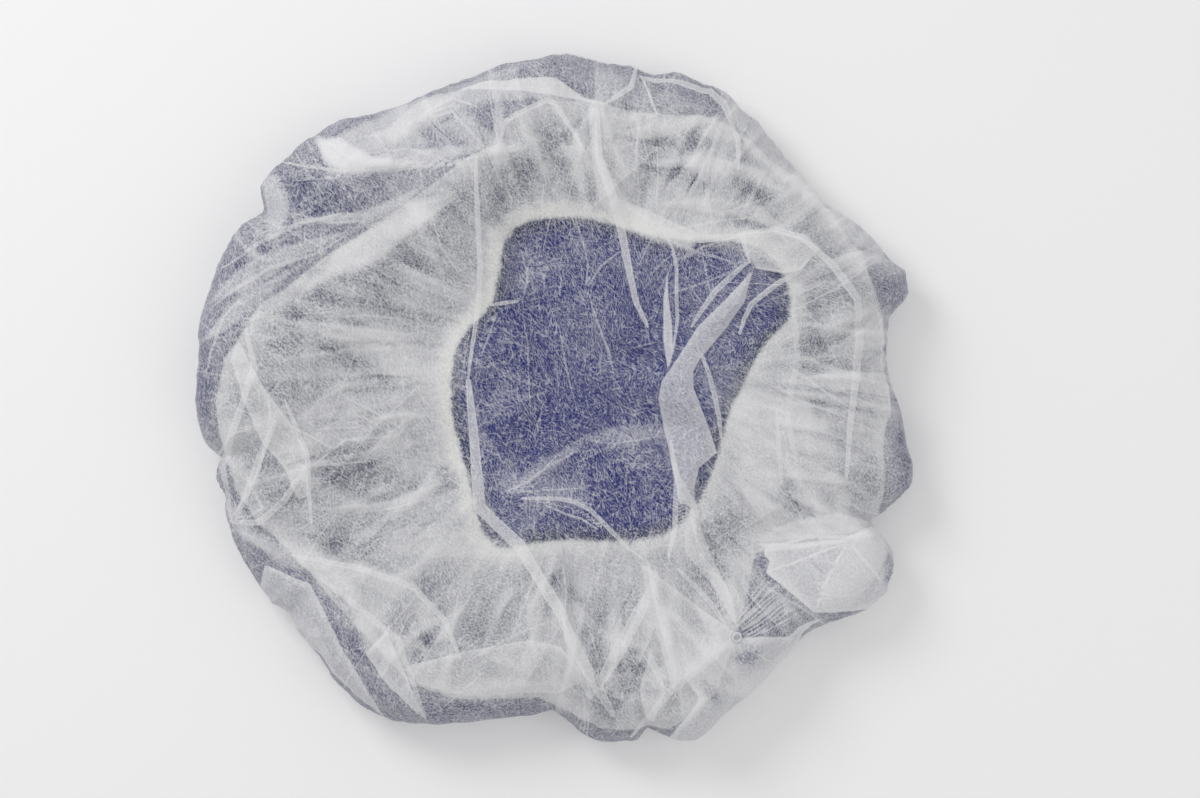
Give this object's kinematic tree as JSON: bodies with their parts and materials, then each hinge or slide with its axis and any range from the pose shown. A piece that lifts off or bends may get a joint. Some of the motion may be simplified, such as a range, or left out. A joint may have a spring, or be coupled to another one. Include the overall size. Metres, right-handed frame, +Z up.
{
  "type": "disposable bouffant hair cap",
  "caption": "Round gathered hair cap of thin white nonwoven, lying crown up on its elastic hem, hollow and open underneath for a head.",
  "frame": {"origin": "bottom centre of the cap's bounding box, on the surface that the cap lies on", "axes": "+Z up through the crown; +X towards the side where the mouth lies nearer the rim, +Y towards the plain side opposite the pleat weld"},
  "size_m": [0.3218, 0.3091, 0.0448],
  "materials": {
    "nonwoven_web": "thin white spunbond web of fine fibres, matt",
    "hem_web": "the same web, gathered tight and turned double, matt",
    "elastic": "narrow flat elastic, matt",
    "fused_web": "web fused by a spot weld, slightly glossy"
  },
  "bodies": {
    "root": {"bouffant_body": "nonwoven_web", "hem_casing": "hem_web", "elastic_band": "elastic", "pleat_weld": "fused_web"}
  },
  "joints": []
}
